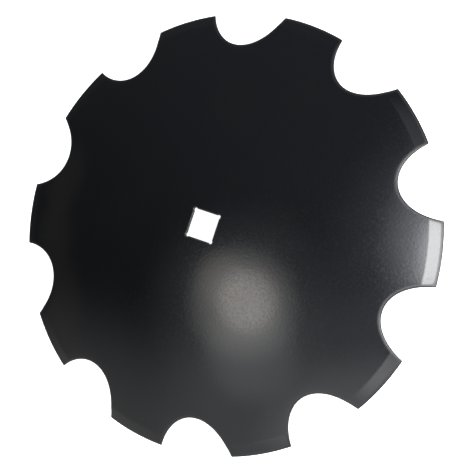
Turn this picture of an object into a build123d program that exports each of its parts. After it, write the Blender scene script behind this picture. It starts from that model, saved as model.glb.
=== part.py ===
from build123d import *
from math import sqrt
import os

# A notched harrow disc blade: one dished steel plate with a square hole for the gang's axle.
# Millimetres. It lies hollow side down on the tips of its teeth. The origin is the centre of
# the circle that the tips stand on, +Z runs up the disc's axis through the crown, and the
# sides of the square hole lie along X and Y.

# Plate
DISC_DIAMETER = 660.0
PLATE_THICKNESS = 5.0
HOLLOW_DEPTH = 79.0  # from the plane of the tips up to the crown of the hollow face

# Notches: each is an ellipse in plan that opens through the rim
NOTCH_COUNT = 10
NOTCH_DEPTH = 54.0  # from the rim circle in to the notch's root
NOTCH_HALF_LENGTH = 94.0  # the ellipse's semi-axis along the radius
NOTCH_HALF_WIDTH = 64.0  # the ellipse's semi-axis across the radius
FIRST_NOTCH_ANGLE = 12.4  # degrees from +X
PITCH_SHORTFALL = 0.08  # degrees that each step of the punching falls short by
TIP_RADIUS = 1.8  # plan rounding of the two corners of each tooth

# Ground edge, on the crowned face of the teeth alone
BEVEL_WIDTH = 17.0  # measured in plan, inward from the rim circle
RIM_LAND = 2.0  # height of the blunt edge that the grinding leaves

# Square axle hole, with a round relief at each corner
HOLE_SIDE = 41.0
RELIEF_RADIUS = 3.0
RELIEF_BULGE = 1.2  # how far a relief reaches past the sides of the hole

# Edges of the walls: the punch rolls the crowned one over, and the hollow one is only broken
ROLLED_EDGE = 1.2
EDGE_BREAK = 0.6
EDGE_SHARE = 0.4  # the most of a wall's height that one edge may take

rim_radius = DISC_DIAMETER / 2
hollow_radius = (rim_radius**2 + HOLLOW_DEPTH**2) / (2 * HOLLOW_DEPTH)
crown_radius = hollow_radius + PLATE_THICKNESS
dish_centre_z = HOLLOW_DEPTH - hollow_radius
crown_z = HOLLOW_DEPTH + PLATE_THICKNESS
bevel_radius = rim_radius - BEVEL_WIDTH
bevel_top_z = dish_centre_z + sqrt(crown_radius**2 - bevel_radius**2)
bevel_apex_z = RIM_LAND + (bevel_top_z - RIM_LAND) * rim_radius / BEVEL_WIDTH
notch_pitch = 360 / NOTCH_COUNT - PITCH_SHORTFALL
notch_centre_radius = rim_radius - NOTCH_DEPTH + NOTCH_HALF_LENGTH
relief_offset = HOLE_SIDE / 2 + RELIEF_BULGE - RELIEF_RADIUS
rolled_edge = min(ROLLED_EDGE, EDGE_SHARE * PLATE_THICKNESS)
edge_break = min(EDGE_BREAK, EDGE_SHARE * RIM_LAND, EDGE_SHARE * PLATE_THICKNESS)

with BuildPart() as disc_blade:
    # Plan of the blank: a round plate with its notches, drawn up into a tall prism
    with BuildSketch():
        Circle(rim_radius)
        with PolarLocations(
            notch_centre_radius, NOTCH_COUNT, FIRST_NOTCH_ANGLE, NOTCH_COUNT * notch_pitch
        ):
            Ellipse(NOTCH_HALF_LENGTH, NOTCH_HALF_WIDTH, mode=Mode.SUBTRACT)
    extrude(amount=crown_z)
    fillet(disc_blade.edges().filter_by(Axis.Z), TIP_RADIUS)

    # Square axle hole
    with BuildSketch():
        Rectangle(HOLE_SIDE, HOLE_SIDE)
        with GridLocations(2 * relief_offset, 2 * relief_offset, 2, 2):
            Circle(RELIEF_RADIUS)
    extrude(amount=crown_z, mode=Mode.SUBTRACT)

    # Dish: the plate is what lies between two concentric spheres
    with Locations((0, 0, dish_centre_z)):
        Sphere(crown_radius, rotation=(90, 0, 0), mode=Mode.INTERSECT)
        Sphere(hollow_radius, rotation=(90, 0, 0), mode=Mode.SUBTRACT)

    # Edges of the walls: all round the crowned face, then all round the hollow one
    skins = disc_blade.faces().filter_by(GeomType.SPHERE).sort_by(Axis.Z)
    chamfer(skins[-1].edges(), rolled_edge)
    skins = disc_blade.faces().filter_by(GeomType.SPHERE).sort_by(Axis.Z)
    chamfer(skins[0].edges(), edge_break)

    # Ground edge: a cone takes the crowned corner off the teeth, down to the land
    with BuildSketch(Plane.XZ):
        Polygon(
            (0, 0), (rim_radius, 0), (rim_radius, RIM_LAND), (0, bevel_apex_z), align=None
        )
    revolve(axis=Axis.Z, mode=Mode.INTERSECT)

disc_blade.part.label = "disc_blade"
os.makedirs("parts", exist_ok=True)
export_step(disc_blade.part, "parts/disc_blade.step")
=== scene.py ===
"""Looks of a notched harrow disc blade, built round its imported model.

Every length is in metres and every place is in the model's own frame: the blade lies hollow side down on
the tips of its teeth, with +Z up its axis.
"""

import logging
from collections.abc import Callable, Sequence
from dataclasses import dataclass, field, replace
from enum import Enum
from math import atan2, ceil, cos, hypot, pi, radians, sin, sqrt

import bpy
from mathutils import Matrix, Vector
from mathutils.geometry import delaunay_2d_cdt

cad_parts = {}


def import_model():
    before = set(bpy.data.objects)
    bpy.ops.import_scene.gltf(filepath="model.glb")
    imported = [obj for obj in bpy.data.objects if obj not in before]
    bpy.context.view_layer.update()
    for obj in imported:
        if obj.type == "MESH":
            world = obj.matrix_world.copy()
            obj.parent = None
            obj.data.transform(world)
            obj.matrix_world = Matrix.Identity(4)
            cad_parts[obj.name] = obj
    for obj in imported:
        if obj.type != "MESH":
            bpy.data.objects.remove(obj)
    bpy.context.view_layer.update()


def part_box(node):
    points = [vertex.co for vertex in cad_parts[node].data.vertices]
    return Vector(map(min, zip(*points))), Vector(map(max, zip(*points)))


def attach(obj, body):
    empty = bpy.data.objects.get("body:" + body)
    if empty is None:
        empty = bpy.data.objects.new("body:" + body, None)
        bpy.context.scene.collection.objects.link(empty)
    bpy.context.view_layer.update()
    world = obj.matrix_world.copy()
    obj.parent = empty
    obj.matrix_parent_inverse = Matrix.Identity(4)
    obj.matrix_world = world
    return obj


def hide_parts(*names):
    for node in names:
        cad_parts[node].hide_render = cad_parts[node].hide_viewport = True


log = logging.getLogger("disc_blade")

MM = 0.001
EDGE_DISTANCE = "edge_distance"
HALVINGS = 60


class Face(Enum):
    """The two dished faces of the plate."""

    CROWN = "crown"
    HOLLOW = "hollow"


def linear_rgb(hex_colour: str) -> tuple[float, float, float, float]:
    """Turns an sRGB hex colour to the linear values that a shader takes.

    Args:
        hex_colour: Six hex digits, with or without a leading #.

    Returns:
        Linear red, green and blue, and an alpha of one.
    """
    digits = hex_colour.lstrip("#")
    channels = [int(digits[i : i + 2], 16) / 255 for i in (0, 2, 4)]
    red, green, blue = (c / 12.92 if c <= 0.04045 else ((c + 0.055) / 1.055) ** 2.4 for c in channels)
    return red, green, blue, 1.0


def add_node(
    tree: bpy.types.NodeTree,
    kind: str,
    settings: dict[str, object] | None = None,
    inputs: dict[str | int, object] | None = None,
) -> bpy.types.Node:
    """Adds one node to a tree, with its settings, values and links.

    Args:
        tree: The node tree of a material or of the world.
        kind: The node's Blender type.
        settings: Values for the node's own properties.
        inputs: For each input socket, a value, or the output socket that feeds it.

    Returns:
        The new node.
    """
    node = tree.nodes.new(kind)
    for name, value in (settings or {}).items():
        setattr(node, name, value)
    for socket, value in (inputs or {}).items():
        if isinstance(value, bpy.types.NodeSocket):
            tree.links.new(value, node.inputs[socket])
        else:
            node.inputs[socket].default_value = value
    return node


def cleared_tree(owner: bpy.types.Material | bpy.types.World) -> bpy.types.NodeTree:
    """Turns on the nodes of a material or of the world and clears them away.

    Args:
        owner: The material or the world.

    Returns:
        Its empty node tree.
    """
    owner.use_nodes = True
    owner.node_tree.nodes.clear()
    return owner.node_tree


def linked_object(name: str, data: bpy.types.Mesh | bpy.types.Camera) -> bpy.types.Object:
    """Makes an object and links it to the scene.

    Args:
        name: Name of the object.
        data: Its mesh or its camera.

    Returns:
        The new object.
    """
    made = bpy.data.objects.new(name, data)
    bpy.context.scene.collection.objects.link(made)
    return made


def bisect(rises: Callable[[float], float], low: float, high: float) -> float:
    """Finds where a rising function of one value passes through zero.

    Args:
        rises: The function, below zero at low and above zero at high.
        low: Start of the range.
        high: End of the range.

    Returns:
        The value at which the function is zero.
    """
    for _ in range(HALVINGS):
        middle = (low + high) / 2
        if rises(middle) < 0:
            low = middle
        else:
            high = middle
    return (low + high) / 2


@dataclass(frozen=True)
class EdgePoint:
    """One point of an outline in plan, with the directions that lead from it into the metal.

    The two directions differ only at a corner: one belongs to the stretch before the point, and one to the
    stretch after it. The room is how far the point may move in, and is only short near a sharp corner.
    """

    place: Vector
    inward_before: Vector
    inward_after: Vector
    room: float = 1.0

    @classmethod
    def smooth(cls, place: Vector, inward: Vector) -> "EdgePoint":
        """A point where the outline has no corner."""
        return cls(place, inward, inward)

    def moved_in(self, distance: float) -> Vector:
        """The point's place on the outline moved into the metal.

        Args:
            distance: How far the outline is moved. The point itself moves no further than its room.

        Returns:
            The place in plan.
        """
        mean = (self.inward_before + self.inward_after).normalized()
        return self.place + mean * (min(distance, self.room) / mean.dot(self.inward_after))

    def mirrored(self) -> "EdgePoint":
        """The point's mirror image across the X axis."""
        flip = Vector((1, -1))
        return EdgePoint(self.place * flip, self.inward_after * flip, self.inward_before * flip)

    def turned(self, angle: float) -> "EdgePoint":
        """The point, turned about the blade's axis."""
        turn = Matrix.Rotation(angle, 2)
        return EdgePoint(turn @ self.place, turn @ self.inward_before, turn @ self.inward_after)


@dataclass(frozen=True)
class Dish:
    """The plate's form: two concentric spheres, and the cone that is ground on the crowned one."""

    rim_radius: float
    hollow_depth: float = 79 * MM
    thickness: float = 5 * MM
    bevel_width: float = 17 * MM
    rim_land: float = 2 * MM
    crease_softness: float = 2 * MM

    @property
    def hollow_radius(self) -> float:
        """Radius of the sphere that the hollow face lies on."""
        return (self.rim_radius**2 + self.hollow_depth**2) / (2 * self.hollow_depth)

    @property
    def crown_radius(self) -> float:
        """Radius of the sphere that the crowned face lies on."""
        return self.hollow_radius + self.thickness

    @property
    def centre(self) -> Vector:
        """The common centre of the two spheres."""
        return Vector((0, 0, self.hollow_depth - self.hollow_radius))

    @property
    def bevel_radius(self) -> float:
        """Plan radius of the line where the ground bevel starts."""
        return self.rim_radius - self.bevel_width

    @property
    def bevel_slope(self) -> float:
        """Fall of the bevel for each unit of plan radius."""
        return (self.sphere_height(self.crown_radius, self.bevel_radius) - self.rim_land) / self.bevel_width

    def sphere_height(self, sphere_radius: float, radius: float) -> float:
        """Height of one of the spheres at a plan radius."""
        return self.centre.z + sqrt(sphere_radius**2 - radius**2)

    def on_bevel(self, face: Face, radius: float) -> bool:
        """Whether a plan radius falls on the ground bevel."""
        return face is Face.CROWN and radius > self.bevel_radius

    def point(self, face: Face, plan: Vector) -> Vector:
        """The point of a face over a place in plan.

        Args:
            face: Which face of the plate.
            plan: The place in plan.

        Returns:
            The point in space.
        """
        radius = plan.length
        if self.on_bevel(face, radius):
            height = self.rim_land + (self.rim_radius - radius) * self.bevel_slope
        else:
            sphere_radius = self.crown_radius if face is Face.CROWN else self.hollow_radius
            height = self.sphere_height(sphere_radius, radius)
        return Vector((plan.x, plan.y, height))

    def normal(self, face: Face, point: Vector) -> Vector:
        """The direction that a face looks in at a point.

        Args:
            face: Which face of the plate.
            point: The point on that face.

        Returns:
            The outward unit normal. It turns from the dish to the ground bevel over a narrow worn band.
        """
        away = (point - self.centre).normalized()
        if face is Face.HOLLOW:
            return -away
        outward = Vector((point.x, point.y, 0))
        past = outward.length - self.bevel_radius
        share = min(1, max(0, past / self.crease_softness / 2 + 0.5))
        ground = Vector((0, 0, 1)) + outward.normalized() * self.bevel_slope
        return away.lerp(ground.normalized(), share * share * (3 - 2 * share)).normalized()


@dataclass(frozen=True)
class NotchedRim:
    """The blade's outline in plan: elliptical notches cut through the rim circle, and the teeth between."""

    dish: Dish
    notch_count: int = 10
    notch_depth: float = 54.0 * MM
    notch_half_length: float = 94 * MM
    notch_half_width: float = 64 * MM
    first_notch: float = radians(12.4)
    pitch_shortfall: float = radians(0.08)
    tip_radius: float = 1.8 * MM
    corner_room: float = 1.0 * MM
    room_growth: float = 0.25
    draw_reach: float = 18 * MM
    draw_slope: float = radians(3.5)
    root_steps: int = 56
    flank_steps: int = 10
    tip_steps: int = 5
    tooth_steps: int = 26

    @property
    def ellipse_centre(self) -> float:
        """Plan radius of the middle of each notch's ellipse."""
        return self.dish.rim_radius - self.notch_depth + self.notch_half_length

    @property
    def pitch(self) -> float:
        """Angle from the middle of one notch to the middle of the next."""
        return 2 * pi / self.notch_count - self.pitch_shortfall

    def notch_angle(self, index: int) -> float:
        """Angle of one notch's middle, from +X."""
        return self.first_notch + index * self.pitch

    def notch_point(self, turn: float) -> EdgePoint:
        """A point of a notch whose middle lies along +X.

        Args:
            turn: Angle round the ellipse, zero at the notch's root.

        Returns:
            The point, with its way into the metal.
        """
        along, across = self.notch_half_length, self.notch_half_width
        place = Vector((self.ellipse_centre - along * cos(turn), across * sin(turn)))
        return EdgePoint.smooth(place, Vector((-cos(turn) / along, sin(turn) / across)).normalized())

    def turn_at(self, radius: float, offset: float) -> float:
        """Angle round a notch at which the outline, moved in by an offset, reaches a plan radius."""
        return bisect(lambda turn: self.notch_point(turn).moved_in(offset).length - radius, 0, pi / 2)

    def may_be_drawn(self, plan: Vector) -> bool:
        """Whether a place in plan is far enough out for the edges to matter."""
        return plan.length > self.dish.rim_radius - self.notch_depth - self.draw_reach

    def edge_distance(self, plan: Vector) -> float:
        """About how far a place in plan is inside the outline.

        Args:
            plan: The place in plan.

        Returns:
            The distance, and no more than the reach of the edges.
        """
        if not self.may_be_drawn(plan):
            return self.draw_reach
        return min(self.draw_reach, *(distance for distance, _ in self.nearest_edges(plan)))

    def nearest_edges(self, plan: Vector) -> tuple[tuple[float, Vector], tuple[float, Vector]]:
        """How far a place in plan is from the rim circle and from the nearest notch, and the way to each.

        Args:
            plan: The place in plan, away from the axis.

        Returns:
            A distance and a unit direction for the rim circle, then for the notch.
        """
        angle = atan2(plan.y, plan.x) % (2 * pi)
        index = round((angle - self.first_notch) / self.pitch) % self.notch_count
        turn = Matrix.Rotation(self.notch_angle(index), 2)
        local = turn.transposed() @ plan
        along, across = local.x - self.ellipse_centre, local.y
        size = hypot(along / self.notch_half_length, across / self.notch_half_width)
        rise = Vector((along / self.notch_half_length**2, across / self.notch_half_width**2)) / size
        to_notch = (size - 1) / rise.length
        to_rim = self.dish.rim_radius - plan.length
        return (to_rim, plan.normalized()), (to_notch, turn @ -rise.normalized())

    def draw_down(self, plan: Vector) -> tuple[float, Vector]:
        """How the punch and the grinder have drawn the crowned face down near the blade's edges.

        Args:
            plan: The place in plan, away from the axis.

        Returns:
            How far the face lies below the true form, and the slope that this adds, pointing downhill.
        """
        fall, slope = 0.0, Vector((0, 0))
        for distance, outward in self.nearest_edges(plan):
            share = min(1, max(0, 1 - distance / self.draw_reach))
            fall += self.draw_slope * self.draw_reach / 3 * share**3
            slope += outward * (self.draw_slope * share**2)
        return fall, slope

    def points(self, crease_offset: float) -> list[EdgePoint]:
        """All points of the outline, turning left round the blade.

        Args:
            crease_offset: The outline moved in by this much has a point exactly on the bevel's line.

        Returns:
            The points, as many for each notch and tooth.
        """
        turn_tip = self.turn_at(self.dish.rim_radius - self.tip_radius, self.tip_radius)
        turn_crease = self.turn_at(self.dish.bevel_radius, crease_offset)
        stops = (
            (-turn_tip, -turn_crease, self.flank_steps),
            (-turn_crease, turn_crease, self.root_steps),
            (turn_crease, turn_tip, self.flank_steps),
        )
        turns = [start + (end - start) * i / steps for start, end, steps in stops for i in range(steps)]
        notch = [self.notch_point(turn) for turn in [*turns, turn_tip]]

        wall_end = notch[-1]
        tip_centre = wall_end.moved_in(self.tip_radius)
        start = atan2(-wall_end.inward_after.y, -wall_end.inward_after.x)
        end = atan2(tip_centre.y, tip_centre.x)
        after_notch = []
        for i in range(1, self.tip_steps + 1):
            angle = start + (end - start) * i / self.tip_steps
            outward = Vector((cos(angle), sin(angle)))
            after_notch.append(EdgePoint.smooth(tip_centre + outward * self.tip_radius, -outward))
        before_notch = [point.mirrored() for point in reversed(after_notch)]

        outline: list[EdgePoint] = []
        for index in range(self.notch_count):
            angle = self.notch_angle(index)
            outline += [point.turned(angle) for point in before_notch + notch + after_notch]
            tooth_start, tooth_end = angle + end, self.notch_angle((index + 1) % self.notch_count) - end
            if index == self.notch_count - 1:
                tooth_end += 2 * pi
            for i in range(1, self.tooth_steps):
                rim_angle = tooth_start + (tooth_end - tooth_start) * i / self.tooth_steps
                outward = Vector((cos(rim_angle), sin(rim_angle)))
                outline.append(EdgePoint.smooth(outward * self.dish.rim_radius, -outward))
        middle = self.tip_steps // 2
        corners = [
            arc[middle].turned(self.notch_angle(index)).place
            for index in range(self.notch_count)
            for arc in (before_notch, after_notch)
        ]
        return [self.with_room(point, corners) for point in outline]

    def with_room(self, point: EdgePoint, corners: Sequence[Vector]) -> EdgePoint:
        """The point, with the room that the nearest corner of a tooth leaves it."""
        distance = min((point.place - corner).length for corner in corners)
        return replace(point, room=self.corner_room + self.room_growth * distance)


@dataclass(frozen=True)
class AxleHole:
    """The square hole for the gang's axle, with a small round relief in each corner."""

    side: float = 41 * MM
    relief_radius: float = 3.0 * MM
    relief_bulge: float = 1.2 * MM
    side_steps: int = 12
    relief_steps: int = 10

    @property
    def relief_centre(self) -> float:
        """Distance of each relief's centre from the two middle lines of the hole."""
        return self.side / 2 + self.relief_bulge - self.relief_radius

    def contains(self, plan: Vector, margin: float) -> bool:
        """Whether a place in plan lies inside the hole.

        Args:
            plan: The place in plan.
            margin: How much the hole is grown by for the test.

        Returns:
            True inside the hole and its margin.
        """
        x, y = abs(plan.x), abs(plan.y)
        in_square = max(x, y) < self.side / 2 + margin
        from_relief = hypot(x - self.relief_centre, y - self.relief_centre)
        return in_square or from_relief < self.relief_radius + margin

    def points(self) -> list[EdgePoint]:
        """All points of the hole's outline, turning left round the axis.

        Returns:
            The points, as many for each side and its relief.
        """
        half = self.side / 2
        reach = sqrt(self.relief_radius**2 - (half - self.relief_centre) ** 2)
        side_end = self.relief_centre - reach
        first = atan2(-reach, half - self.relief_centre)
        sweep = pi / 2 - 2 * first
        into_side = Vector((1, 0))
        quarter: list[EdgePoint] = []
        for i in range(1, self.side_steps):
            along = side_end * (2 * i / self.side_steps - 1)
            quarter.append(EdgePoint.smooth(Vector((half, along)), into_side))
        for i in range(self.relief_steps + 1):
            angle = first + sweep * i / self.relief_steps
            inward = Vector((cos(angle), sin(angle)))
            place = Vector((self.relief_centre, self.relief_centre)) + inward * self.relief_radius
            before = into_side if i == 0 else inward
            after = Vector((0, 1)) if i == self.relief_steps else inward
            quarter.append(EdgePoint(place, before, after))
        return [point.turned(k * pi / 2) for k in range(4) for point in quarter]


@dataclass(frozen=True)
class BlackEnamel:
    """Stoved black enamel, sprayed straight on the pressed steel.

    One thin semi-gloss coat: a deep neutral black that shows soft lamps as broad glows, with a fine
    orange peel that breaks their edges up into grain. Along the edges a band is painted a lighter grey, a
    painted highlight for the light line that the edges catch, and its gloss is duller.
    """

    name: str = "stoved_black_enamel"
    colour: str = "#07080a"
    dusty_colour: str = "#0b0b0b"
    roughness: float = 0.12
    roughness_spread: float = 0.02
    ior: float = 1.5
    # The real peel is about 1.5 mm across, too fine to show at this size of picture, so it is drawn coarser
    peel_size: float = 3.5 * MM
    peel_height: float = 0.05 * MM
    peel_roughness: float = 0.05
    # Dust and an uneven coat come in clouds about a hand across
    cloud_size: float = 90 * MM
    dust_most: float = 0.5
    # How many finer layers each noise carries, and the strength of each against the one before
    cloud_layers: float = 5.0
    cloud_layer_share: float = 0.6
    peel_layers: float = 2.0
    peel_layer_share: float = 0.5
    # The stretch of each noise's values that the maps use
    dust_range: tuple[float, float] = (0.45, 0.8)
    cloud_range: tuple[float, float] = (0.3, 0.7)
    peel_range: tuple[float, float] = (0.35, 0.65)
    # The band along the edges: a lighter grey painted on as a highlight, with a duller gloss
    painted_edge_highlight_colour: str = "#121314"
    edge_band_roughness: float = 0.4
    # How far in from an edge the painted highlight band and its duller gloss start, and where they are full
    edge_band_from: float = 5 * MM
    edge_band_to: float = 2.5 * MM

    def material(self) -> bpy.types.Material:
        """Builds the material.

        Returns:
            The new material. Its colour and gloss vary with the clouds and the peel, and both change along
            the edges by the distance that the mesh carries, where a lighter grey is painted on as a
            highlight.
        """
        material = bpy.data.materials.new(self.name)
        tree = cleared_tree(material)
        place = add_node(tree, "ShaderNodeTexCoord").outputs["Object"]
        clouds = add_node(
            tree,
            "ShaderNodeTexNoise",
            {},
            {
                "Vector": place,
                "Scale": 1 / self.cloud_size,
                "Detail": self.cloud_layers,
                "Roughness": self.cloud_layer_share,
            },
        )
        peel = add_node(
            tree,
            "ShaderNodeTexNoise",
            {},
            {
                "Vector": place,
                "Scale": 1 / self.peel_size,
                "Detail": self.peel_layers,
                "Roughness": self.peel_layer_share,
            },
        )
        dust = add_node(
            tree,
            "ShaderNodeMapRange",
            {"interpolation_type": "SMOOTHSTEP"},
            {
                "Value": clouds.outputs["Fac"],
                "From Min": self.dust_range[0],
                "From Max": self.dust_range[1],
                "To Min": 0.0,
                "To Max": self.dust_most,
            },
        )
        colour = add_node(
            tree,
            "ShaderNodeMix",
            {"data_type": "RGBA"},
            {
                "Factor": dust.outputs["Result"],
                "A": linear_rgb(self.colour),
                "B": linear_rgb(self.dusty_colour),
            },
        )
        roughness = add_node(
            tree,
            "ShaderNodeMapRange",
            {},
            {
                "Value": clouds.outputs["Fac"],
                "From Min": self.cloud_range[0],
                "From Max": self.cloud_range[1],
                "To Min": self.roughness - self.roughness_spread,
                "To Max": self.roughness + self.roughness_spread,
            },
        )
        grain = add_node(
            tree,
            "ShaderNodeMapRange",
            {"clamp": False},
            {
                "Value": peel.outputs["Fac"],
                "From Min": self.peel_range[0],
                "From Max": self.peel_range[1],
                "To Min": -self.peel_roughness,
                "To Max": self.peel_roughness,
            },
        )
        peeled_roughness = add_node(
            tree,
            "ShaderNodeMath",
            {"use_clamp": True},
            {0: roughness.outputs["Result"], 1: grain.outputs["Result"]},
        )
        edge_distance = add_node(tree, "ShaderNodeAttribute", {"attribute_name": EDGE_DISTANCE})
        # Painted highlight: the band along the edges is painted a lighter grey, and its gloss is made
        # duller
        edge_highlight_band = add_node(
            tree,
            "ShaderNodeMapRange",
            {"interpolation_type": "SMOOTHSTEP"},
            {
                "Value": edge_distance.outputs["Fac"],
                "From Min": self.edge_band_from,
                "From Max": self.edge_band_to,
                "To Min": 0.0,
                "To Max": 1.0,
            },
        )
        colour_with_painted_highlight = add_node(
            tree,
            "ShaderNodeMix",
            {"data_type": "RGBA"},
            {
                "Factor": edge_highlight_band.outputs["Result"],
                "A": colour.outputs["Result"],
                "B": linear_rgb(self.painted_edge_highlight_colour),
            },
        )
        edge_roughness = add_node(
            tree,
            "ShaderNodeMix",
            {"data_type": "FLOAT"},
            {
                "Factor": edge_highlight_band.outputs["Result"],
                "A": peeled_roughness.outputs["Value"],
                "B": self.edge_band_roughness,
            },
        )
        bump = add_node(
            tree,
            "ShaderNodeBump",
            {},
            {"Strength": 1.0, "Distance": self.peel_height, "Height": peel.outputs["Fac"]},
        )
        surface = add_node(
            tree,
            "ShaderNodeBsdfPrincipled",
            {},
            {
                "Base Color": colour_with_painted_highlight.outputs["Result"],
                "Roughness": edge_roughness.outputs["Result"],
                "Normal": bump.outputs["Normal"],
                "IOR": self.ior,
            },
        )
        add_node(tree, "ShaderNodeOutputMaterial", {}, {"Surface": surface.outputs["BSDF"]})
        return material


@dataclass(frozen=True)
class OpalAcrylic:
    """Opal acrylic sheet, cast with a matt face and lit from below as a light table is.

    It gives an even white with next to no gloss, so that the blade's outline stands clear on it.
    """

    name: str = "matt_opal_acrylic"
    colour: str = "#f2f2f2"
    roughness: float = 0.9
    gloss_level: float = 0.1
    glow: float = 1.15

    def material(self) -> bpy.types.Material:
        """Builds the material.

        Returns:
            The new material, the same all over the sheet.
        """
        material = bpy.data.materials.new(self.name)
        tree = cleared_tree(material)
        surface = add_node(
            tree,
            "ShaderNodeBsdfPrincipled",
            {},
            {
                "Base Color": linear_rgb(self.colour),
                "Roughness": self.roughness,
                "Specular IOR Level": self.gloss_level,
                "Emission Color": linear_rgb(self.colour),
                "Emission Strength": self.glow,
            },
        )
        add_node(tree, "ShaderNodeOutputMaterial", {}, {"Surface": surface.outputs["BSDF"]})
        return material


@dataclass(frozen=True)
class RolledEdge:
    """One cross-section of the plate's edge: a curve from a face into the wall, tangent to both."""

    start: Vector
    corner: Vector
    end: Vector
    face_normal: Vector

    def point(self, share: float) -> Vector:
        """The point at a share of the way from the face to the wall."""
        return self.start * (1 - share) ** 2 + self.corner * (2 * share * (1 - share)) + self.end * share**2

    def normal(self, share: float, inward: Vector) -> Vector:
        """The direction that the edge looks in.

        Args:
            share: The share of the way from the face to the wall.
            inward: The way into the metal in plan.

        Returns:
            The outward unit normal.
        """
        inset = hypot(self.corner.x - self.start.x, self.corner.y - self.start.y)
        lean = share * abs(self.face_normal.z) * (self.corner - self.end).length / inset
        outward = Vector((-inward.x, -inward.y, 0))
        return (self.face_normal * (1 - share) + outward * lean).normalized()


@dataclass
class Border:
    """One outline of the plate, with how far its edges roll over and where its wall meets the two faces."""

    outline: list[EdgePoint]
    crown_edge: float
    hollow_edge: float
    turned_in: bool
    loops: dict[Face, list[int]] = field(default_factory=dict)

    def edge_size(self, face: Face) -> float:
        """How far in from the outline the roll starts on a face."""
        return self.crown_edge if face is Face.CROWN else self.hollow_edge


@dataclass
class SkinMesh:
    """The growing mesh of the plate.

    It holds the points, how far each one is from an edge, the faces, and a normal for each face's corners.
    """

    points: list[Vector] = field(default_factory=list)
    edge_distances: list[float] = field(default_factory=list)
    faces: list[tuple[int, ...]] = field(default_factory=list)
    normals: list[Vector] = field(default_factory=list)

    def add_point(self, point: Vector, edge_distance: float) -> int:
        """Adds one point.

        Args:
            point: Its place.
            edge_distance: How far it is from the nearest edge, for the enamel's painted edge highlight and
                duller gloss.

        Returns:
            The number of the new point.
        """
        self.points.append(point)
        self.edge_distances.append(edge_distance)
        return len(self.points) - 1

    def add_face(self, corners: Sequence[int], normals: Sequence[Vector]) -> None:
        """Adds one face with a normal at each corner."""
        self.faces.append(tuple(corners))
        self.normals += normals

    def object(self, name: str) -> bpy.types.Object:
        """Makes a smooth-shaded object of the mesh, with its own normals.

        Args:
            name: Name of the object.

        Returns:
            The new object, linked to the scene.
        """
        mesh = bpy.data.meshes.new(name)
        mesh.from_pydata(self.points, [], self.faces)
        mesh.shade_smooth()
        mesh.normals_split_custom_set(self.normals)
        mesh.attributes.new(EDGE_DISTANCE, "FLOAT", "POINT").data.foreach_set("value", self.edge_distances)
        mesh.validate(verbose=False)
        return linked_object(name, mesh)


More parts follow.
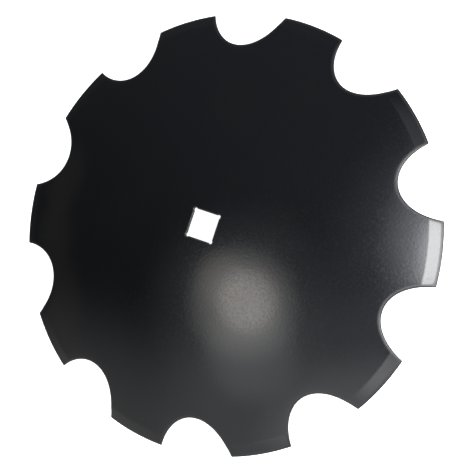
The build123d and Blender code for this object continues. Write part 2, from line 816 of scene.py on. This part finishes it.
@dataclass
class DiscBlade:
    """The painted blade itself, one piece of pressed plate."""

    dish: Dish
    rim: NotchedRim
    hole: AxleHole
    enamel: BlackEnamel
    # How far in from its outline each edge starts to roll, and the most of the wall's height that it takes
    rolled_edge: float = 2.0 * MM
    hole_edge: float = 1.25 * MM
    hollow_edge: float = 0.95 * MM
    wall_share: dict[Face, float] = field(default_factory=lambda: {Face.CROWN: 0.55, Face.HOLLOW: 0.3})
    roll_steps: int = 8
    # The points that fill a face, and how far they keep from its outlines
    grid_spacing: dict[Face, float] = field(
        default_factory=lambda: {Face.CROWN: 4 * MM, Face.HOLLOW: 8 * MM}
    )
    grid_margin: float = 4 * MM
    fewest_in_ring: int = 8
    crease_spacing: float = 3 * MM
    line_tolerance: float = 1e-6
    join_tolerance: float = 1e-7

    def build(self) -> bpy.types.Object:
        """Builds the blade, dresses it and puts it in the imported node's place.

        Returns:
            The blade's object.
        """
        mesh = SkinMesh()
        borders = (
            Border(self.rim.points(self.rolled_edge), self.rolled_edge, self.hollow_edge, turned_in=False),
            Border(self.hole.points(), self.hole_edge, self.hollow_edge, turned_in=True),
        )
        for border in borders:
            self.add_wall(mesh, border)
        for face in Face:
            self.add_skin(mesh, face, borders)
        blade = mesh.object("blade_plate")
        blade.data.materials.append(self.enamel.material())
        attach(blade, "root")
        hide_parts("disc_blade")
        return blade

    def add_wall(self, mesh: SkinMesh, border: Border) -> None:
        """Adds the wall under one outline, with a rolled edge above and below.

        Args:
            mesh: The mesh to add to.
            border: The outline. It takes the point numbers where the wall meets each face.
        """
        shares = [i / self.roll_steps for i in range(self.roll_steps + 1)]
        steps = [(Face.CROWN, share) for share in shares]
        steps += [(Face.HOLLOW, share) for share in reversed(shares)]
        rolls = {
            face: [self.rolled(edge, face, border.edge_size(face)) for edge in border.outline]
            for face in Face
        }
        loops: list[list[int]] = []
        for face, share in steps:
            loops.append([])
            for edge, roll in zip(border.outline, rolls[face]):
                point = roll.point(share)
                loops[-1].append(mesh.add_point(point, (point.xy - edge.place).length))
        border.loops = {Face.CROWN: loops[0], Face.HOLLOW: loops[-1]}
        count = len(border.outline)
        for row, (upper, lower) in enumerate(zip(steps, steps[1:])):
            for i in range(count):
                j = (i + 1) % count
                after, before = border.outline[i].inward_after, border.outline[j].inward_before
                corners = [
                    (loops[row][i], rolls[upper[0]][i].normal(upper[1], after)),
                    (loops[row + 1][i], rolls[lower[0]][i].normal(lower[1], after)),
                    (loops[row + 1][j], rolls[lower[0]][j].normal(lower[1], before)),
                    (loops[row][j], rolls[upper[0]][j].normal(upper[1], before)),
                ]
                if border.turned_in:
                    corners.reverse()
                mesh.add_face([number for number, _ in corners], [normal for _, normal in corners])

    def rolled(self, edge: EdgePoint, face: Face, size: float) -> RolledEdge:
        """The cross-section of the plate's edge at one point of an outline.

        Args:
            edge: The point of the outline.
            face: The face that the edge rolls over from.
            size: How far in the roll starts, where there is room.

        Returns:
            The cross-section.
        """
        start, face_normal = self.surface(face, edge.moved_in(size))
        corner, _ = self.surface(face, edge.place)
        across = Face.HOLLOW if face is Face.CROWN else Face.CROWN
        wall = self.surface(across, edge.place)[0].z - corner.z
        fall = min((edge.moved_in(size) - edge.place).length, abs(wall) * self.wall_share[face])
        end = corner + Vector((0, 0, fall if wall > 0 else -fall))
        return RolledEdge(start, corner, end, face_normal)

    def surface(self, face: Face, plan: Vector) -> tuple[Vector, Vector]:
        """The point of a face over a place in plan, and the way that the face looks there.

        Args:
            face: Which face of the plate.
            plan: The place in plan.

        Returns:
            The point and the outward unit normal.
        """
        point = self.dish.point(face, plan)
        normal = self.dish.normal(face, point)
        if face is Face.CROWN and self.rim.may_be_drawn(plan):
            fall, slope = self.rim.draw_down(plan)
            point.z -= fall
            normal = (normal + slope.to_3d() * normal.z).normalized()
        return point, normal

    def add_skin(self, mesh: SkinMesh, face: Face, borders: Sequence[Border]) -> None:
        """Adds one dished face of the plate between the rim and the hole.

        Args:
            mesh: The mesh to add to.
            face: Which face.
            borders: The outlines in plan, the rim's first.
        """
        plans: list[Vector] = []
        numbers: list[int] = []
        lines: list[tuple[int, int]] = []
        for border in borders:
            start, count = len(plans), len(border.outline)
            plans += [edge.moved_in(border.edge_size(face)) for edge in border.outline]
            numbers += border.loops[face]
            lines += [(start + i, start + (i + 1) % count) for i in range(count)]
        if face is Face.CROWN:
            self.add_crease(plans, lines, len(borders[0].outline))
        plans += self.grid(face)
        for plan in plans[len(numbers) :]:
            numbers.append(mesh.add_point(self.surface(face, plan)[0], self.rim.edge_distance(plan)))
        normals = [self.surface(face, plan)[1] for plan in plans]

        placed, _, triangles, sources, _, _ = delaunay_2d_cdt(plans, lines, [], 1, self.join_tolerance)
        if len(placed) != len(plans):
            raise ValueError(f"the {face.value} face has {len(placed)} points instead of {len(plans)}")
        for triangle in triangles:
            middle = sum((placed[i] for i in triangle), Vector((0, 0))) / 3
            if self.hole.contains(middle, borders[-1].edge_size(face)):
                continue
            a, b, c = (placed[i] for i in triangle)
            turns_left = (b - a).cross(c - a) > 0
            order = triangle if turns_left == (face is Face.CROWN) else list(reversed(triangle))
            corners = [sources[i][0] for i in order]
            mesh.add_face([numbers[i] for i in corners], [normals[i] for i in corners])

    def add_crease(self, plans: list[Vector], lines: list[tuple[int, int]], rim_count: int) -> None:
        """Adds the line across each tooth where the ground bevel starts.

        Args:
            plans: The places in plan, the rim's outline first. New ones are added at the end.
            lines: The lines between them. New ones are added at the end.
            rim_count: How many of the places are the rim's outline.
        """
        radius = self.dish.bevel_radius
        on_line = [i for i in range(rim_count) if abs(plans[i].length - radius) < self.line_tolerance]
        angles = [atan2(plans[i].y, plans[i].x) for i in on_line]
        for k, start in enumerate(on_line):
            end = on_line[(k + 1) % len(on_line)]
            sweep = (angles[(k + 1) % len(on_line)] - angles[k]) % (2 * pi)
            middle = angles[k] + sweep / 2
            if self.rim.edge_distance(Vector((cos(middle), sin(middle))) * radius) < self.grid_margin:
                continue
            steps = ceil(sweep * radius / self.crease_spacing)
            chain = [start]
            for i in range(1, steps):
                angle = angles[k] + sweep * i / steps
                way = Vector((cos(angle), sin(angle)))
                chain.append(len(plans))
                plans.append(way * radius)
                plans += [way * (radius + side * self.dish.crease_softness) for side in (-1, 1)]
            chain.append(end)
            lines += list(zip(chain, chain[1:]))

    def grid(self, face: Face) -> list[Vector]:
        """Places in plan that fill a face in rings.

        Args:
            face: Which face. On the crowned one they keep clear of the bevel's line.

        Returns:
            The places, all clear of the outlines.
        """
        places: list[Vector] = []
        spacing = self.grid_spacing[face]
        crease_margin = self.dish.crease_softness + self.crease_spacing / 2
        rings = ceil(self.dish.rim_radius / spacing)
        for ring in range(1, rings):
            radius = ring * spacing
            if face is Face.CROWN and abs(radius - self.dish.bevel_radius) < crease_margin:
                continue
            count = max(self.fewest_in_ring, round(2 * pi * radius / spacing))
            for i in range(count):
                angle = 2 * pi * (i + ring % 2 / 2) / count
                place = Vector((cos(angle), sin(angle))) * radius
                inside = self.rim.edge_distance(place) > self.grid_margin
                if inside and not self.hole.contains(place, self.grid_margin):
                    places.append(place)
        return places


@dataclass(frozen=True)
class DomeLamp:
    """One round soft lamp on the studio's dome, far enough away to have no parallax.

    Its azimuth, its height above the horizon and the reach from its middle to its rim are in degrees.
    """

    name: str
    azimuth: float
    height: float
    reach: float
    radiance: float
    tint: str = "#ffffff"

    @property
    def direction(self) -> Vector:
        """The way from the blade to the middle of the lamp."""
        azimuth, height = radians(self.azimuth), radians(self.height)
        return Vector((cos(azimuth) * cos(height), sin(azimuth) * cos(height), sin(height)))


@dataclass
class Studio:
    """The pale floor, the dome of soft lamps and the camera."""

    floor_radius: float = 6.0
    floor_rings: tuple[float, ...] = (0.1, 0.3, 1.0)
    floor_sides: int = 96
    floor_sheet: OpalAcrylic = OpalAcrylic()
    dome_colour: str = "#f4f8ff"
    dome_radiance: float = 0.065
    backdrop_colour: str = "#ffffff"
    lens_mm: float = 101.5
    sensor_mm: float = 36.0
    clip_range: tuple[float, float] = (0.05, 50.0)
    camera_target: tuple[float, float, float] = (-0.95 * MM, -38.9 * MM, 40 * MM)
    camera_distance: float = 1934 * MM
    camera_heading_deg: float = 92.64
    camera_elevation_deg: float = 67.86
    camera_roll_deg: float = -74.08
    lamps: tuple[DomeLamp, ...] = (
        # The lamp overhead shows as the glow beside the hole
        DomeLamp("overhead_core", azimuth=159, height=73, reach=10.3, radiance=3.3, tint="#fff6f1"),
        DomeLamp("overhead_glow", azimuth=157, height=71.5, reach=18, radiance=1.7, tint="#fffdf5"),
        DomeLamp("overhead_lobe", azimuth=130, height=71, reach=9, radiance=0.7, tint="#fff2ea"),
        DomeLamp("overhead_spill", azimuth=167, height=69, reach=34, radiance=0.36, tint="#f0f6ff"),
        DomeLamp("overhead_tail", azimuth=176, height=61, reach=16, radiance=0.75),
        # The large lamp at the side lights the bevel of the tooth nearest to it
        DomeLamp("side_core", azimuth=-74, height=34.5, reach=25, radiance=14.5),
        DomeLamp("side_glow", azimuth=-70, height=43, reach=26, radiance=2.8, tint="#f4f8ff"),
        DomeLamp("side_spill", azimuth=-77, height=39, reach=48, radiance=0.56, tint="#e6ecff"),
        DomeLamp("side_edge_near", azimuth=-113, height=29, reach=22, radiance=1.9),
        DomeLamp("side_edge_far", azimuth=-33, height=32, reach=19, radiance=0.6, tint="#edf0ff"),
        DomeLamp("side_haze_near", azimuth=-110, height=56, reach=16, radiance=0.12, tint="#e6ecff"),
        DomeLamp("side_haze_far", azimuth=-44, height=54, reach=14, radiance=0.1, tint="#e6ecff"),
        DomeLamp("side_floor", azimuth=-78, height=-12, reach=30, radiance=3.5),
        # The wide lamp on the camera's near side greys the teeth below the glow
        DomeLamp("near_core", azimuth=-145, height=34, reach=31, radiance=1.15),
        DomeLamp("near_glow", azimuth=-161, height=41, reach=46, radiance=0.47, tint="#f6f9ff"),
        DomeLamp("near_spill", azimuth=167, height=6, reach=60, radiance=0.64),
        # What comes back from the rest of the room
        DomeLamp("far_fill", azimuth=-15, height=20, reach=120, radiance=0.165, tint="#ecf2ff"),
        DomeLamp("left_streak_high", azimuth=91, height=18, reach=9, radiance=0.08, tint="#fff4e4"),
        DomeLamp("left_streak_middle", azimuth=103, height=18, reach=9, radiance=0.08, tint="#fff0dc"),
        DomeLamp("left_streak_low", azimuth=116, height=20, reach=10, radiance=0.09, tint="#ffe4cc"),
        # What the white floor throws up at the walls and under the rolled edges
        DomeLamp("floor_bounce", azimuth=0, height=-90, reach=75, radiance=0.9),
    )

    def build(self) -> None:
        """Builds the floor, the dome and the camera."""
        self.add_floor()
        self.add_dome()
        self.add_camera()
        bpy.context.scene.view_settings.view_transform = "Standard"

    def add_floor(self) -> None:
        """Adds the round pale floor, which the blade's gloss doesn't mirror."""
        rings = [self.floor_radius * share for share in self.floor_rings]
        sides = self.floor_sides
        points = [Vector((0, 0, 0))]
        points += [
            Vector((radius * cos(2 * pi * i / sides), radius * sin(2 * pi * i / sides), 0))
            for radius in rings
            for i in range(sides)
        ]
        faces = [(0, 1 + i, 1 + (i + 1) % sides) for i in range(sides)]
        for ring in range(len(rings) - 1):
            inner, outer = 1 + ring * sides, 1 + (ring + 1) * sides
            for i in range(sides):
                j = (i + 1) % sides
                faces.append((inner + i, outer + i, outer + j, inner + j))
        mesh = bpy.data.meshes.new("floor")
        mesh.from_pydata(points, [], faces)
        mesh.materials.append(self.floor_sheet.material())
        floor = linked_object("floor", mesh)
        floor.visible_glossy = False

    def add_dome(self) -> None:
        """Makes the world: an even dim dome, the lamps on it, and a plain white backdrop."""
        world = bpy.data.worlds.new("studio_dome")
        bpy.context.scene.world = world
        tree = cleared_tree(world)
        way = add_node(tree, "ShaderNodeTexCoord").outputs["Generated"]
        base = [channel * self.dome_radiance for channel in linear_rgb(self.dome_colour)[:3]]
        total = add_node(tree, "ShaderNodeCombineXYZ", {}, dict(zip("XYZ", base))).outputs["Vector"]
        for lamp in self.lamps:
            facing = add_node(
                tree, "ShaderNodeVectorMath", {"operation": "DOT_PRODUCT"}, {0: way, 1: lamp.direction}
            )
            strength = add_node(
                tree,
                "ShaderNodeMapRange",
                {"interpolation_type": "SMOOTHERSTEP"},
                {
                    "Value": facing.outputs["Value"],
                    "From Min": cos(radians(lamp.reach)),
                    "From Max": 1.0,
                    "To Min": 0.0,
                    "To Max": lamp.radiance,
                },
            )
            glow = add_node(
                tree,
                "ShaderNodeVectorMath",
                {"operation": "SCALE"},
                {0: linear_rgb(lamp.tint)[:3], "Scale": strength.outputs["Result"]},
            )
            both = add_node(tree, "ShaderNodeVectorMath", {}, {0: total, 1: glow.outputs["Vector"]})
            total = both.outputs["Vector"]
        seen = add_node(tree, "ShaderNodeBackground", {}, {"Color": linear_rgb(self.backdrop_colour)})
        lit = add_node(tree, "ShaderNodeBackground", {}, {"Color": total})
        camera_ray = add_node(tree, "ShaderNodeLightPath").outputs["Is Camera Ray"]
        sky = add_node(
            tree,
            "ShaderNodeMixShader",
            {},
            {0: camera_ray, 1: lit.outputs["Background"], 2: seen.outputs["Background"]},
        )
        add_node(tree, "ShaderNodeOutputWorld", {}, {"Surface": sky.outputs["Shader"]})

    def add_camera(self) -> None:
        """Adds the camera at the photograph's viewing angle."""
        heading, fall = radians(self.camera_heading_deg), radians(self.camera_elevation_deg)
        forward = Vector((cos(heading) * cos(fall), sin(heading) * cos(fall), -sin(fall)))
        level = forward.cross(Vector((0, 0, 1))).normalized()
        rise = level.cross(forward)
        roll = radians(self.camera_roll_deg)
        right = level * cos(roll) + rise * sin(roll)
        up = rise * cos(roll) - level * sin(roll)
        place = Vector(self.camera_target) - forward * self.camera_distance
        data = bpy.data.cameras.new("camera")
        data.lens = self.lens_mm
        data.sensor_width = self.sensor_mm
        data.clip_start, data.clip_end = self.clip_range
        camera = linked_object("camera", data)
        turn = Matrix((right, up, -forward)).transposed().to_4x4()
        camera.matrix_world = Matrix.Translation(place) @ turn
        bpy.context.scene.camera = camera


def main() -> None:
    """Loads the frame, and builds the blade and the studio."""
    logging.basicConfig(level=logging.INFO, format="%(name)s: %(message)s")
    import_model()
    low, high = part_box("disc_blade")
    dish = Dish(rim_radius=min(high.x, -low.x))
    blade = DiscBlade(dish=dish, rim=NotchedRim(dish), hole=AxleHole(), enamel=BlackEnamel()).build()
    log.info("%s: %d points, %d faces", blade.name, len(blade.data.vertices), len(blade.data.polygons))
    Studio().build()
    log.info("studio: floor, dome and camera")


if __name__ == "__main__":
    main()
